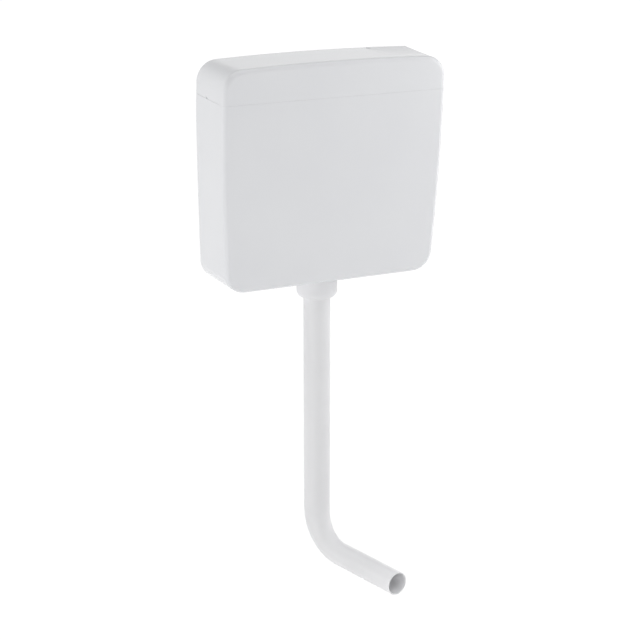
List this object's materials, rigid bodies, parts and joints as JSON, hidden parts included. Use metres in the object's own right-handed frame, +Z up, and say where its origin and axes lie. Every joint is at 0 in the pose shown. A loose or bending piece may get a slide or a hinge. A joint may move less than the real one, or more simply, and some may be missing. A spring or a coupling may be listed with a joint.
{
  "type": "wall-hung toilet cistern",
  "caption": "Bowed, tapered white plastic cistern with lift-off lid, sloping press button, flush and fill valves inside, and a flush pipe that bends forward and narrows to its outlet.",
  "frame": {"origin": "midway between the two wall-screw holes, on the wall", "axes": "+X to the right seen from the front, +Y into the wall, +Z up"},
  "size_m": [0.4498, 0.2823, 0.9685],
  "materials": {
    "white_plastic": "smooth moulded gloss",
    "foam": "fine beaded foam",
    "grey_plastic": "plain moulded",
    "blue_plastic": "plain moulded",
    "rubber": "matt moulded",
    "steel": "drawn wire",
    "brass": "turned"
  },
  "bodies": {
    "cistern": {"tank_shell": "white_plastic", "insulation_liner": "foam", "bridge": "grey_plastic", "rocker_pin": "steel", "valve_basket": "grey_plastic", "valve_seat": "grey_plastic", "outlet_gasket": "rubber", "back_nut": "grey_plastic", "coupling_nut": "white_plastic", "pipe_seal": "rubber", "flush_pipe": "white_plastic", "inlet_shank": "brass", "inlet_seal": "rubber", "inlet_nut": "brass", "inlet_filter": "grey_plastic", "fill_valve_body": "blue_plastic", "diaphragm": "rubber", "valve_cap": "blue_plastic", "float_pin": "steel", "silencer_tube": "grey_plastic"},
    "lid": {"lid": "white_plastic", "button_spring": "steel"},
    "button": {"press_button": "white_plastic", "stem_clip": "steel"},
    "rocker": {"rocker_lever": "blue_plastic"},
    "flush_valve": {"lift_rod": "grey_plastic", "overflow_tube": "grey_plastic", "flush_float": "white_plastic", "valve_seal": "rubber", "seal_clamp": "grey_plastic"},
    "float": {"adjusting_rod": "white_plastic", "fill_float": "grey_plastic"},
    "float_lever": {"float_lever": "blue_plastic"},
    "plunger": {"valve_plunger": "grey_plastic"}
  },
  "joints": [
    {"name": "lid_lift", "type": "slide", "parent": "cistern", "child": "lid", "axis": [0, 0, 1], "range_m": [0, 0.12]},
    {"name": "button_press", "type": "slide", "parent": "lid", "child": "button", "axis": [0, 0, -1], "range_m": [0, 0.009], "stiffness_N_per_m": 900, "springref_m": -0.006, "deforming": ["button_spring"]},
    {"name": "rocker_tilt", "type": "hinge", "parent": "cistern", "child": "rocker", "pos_m": [0.11, -0.0525, 0.04], "axis": [0, 1, 0], "range_deg": [0, 10.2]},
    {"name": "flush_lift", "type": "slide", "parent": "cistern", "child": "flush_valve", "axis": [0, 0, 1], "range_m": [0, 0.0195]},
    {"name": "float_rise", "type": "slide", "parent": "cistern", "child": "float", "axis": [0, 0, 1], "range_m": [0, 0.015]},
    {"name": "float_lever_tilt", "type": "hinge", "parent": "cistern", "child": "float_lever", "pos_m": [0.12281, -0.045, -0.02], "axis": [0, 1, 0], "range_deg": [0, 18]},
    {"name": "plunger_push", "type": "slide", "parent": "cistern", "child": "plunger", "axis": [1, 0, 0], "range_m": [0, 0.0026]}
  ],
  "couplings": [
    {"joint": "rocker_tilt", "follows": "button_press", "rad_per_m": 19.608},
    {"joint": "flush_lift", "follows": "button_press", "ratio": 2.156},
    {"joint": "float_lever_tilt", "follows": "float_rise", "rad_per_m": 20.833},
    {"joint": "plunger_push", "follows": "float_rise", "ratio": 0.1667}
  ]
}
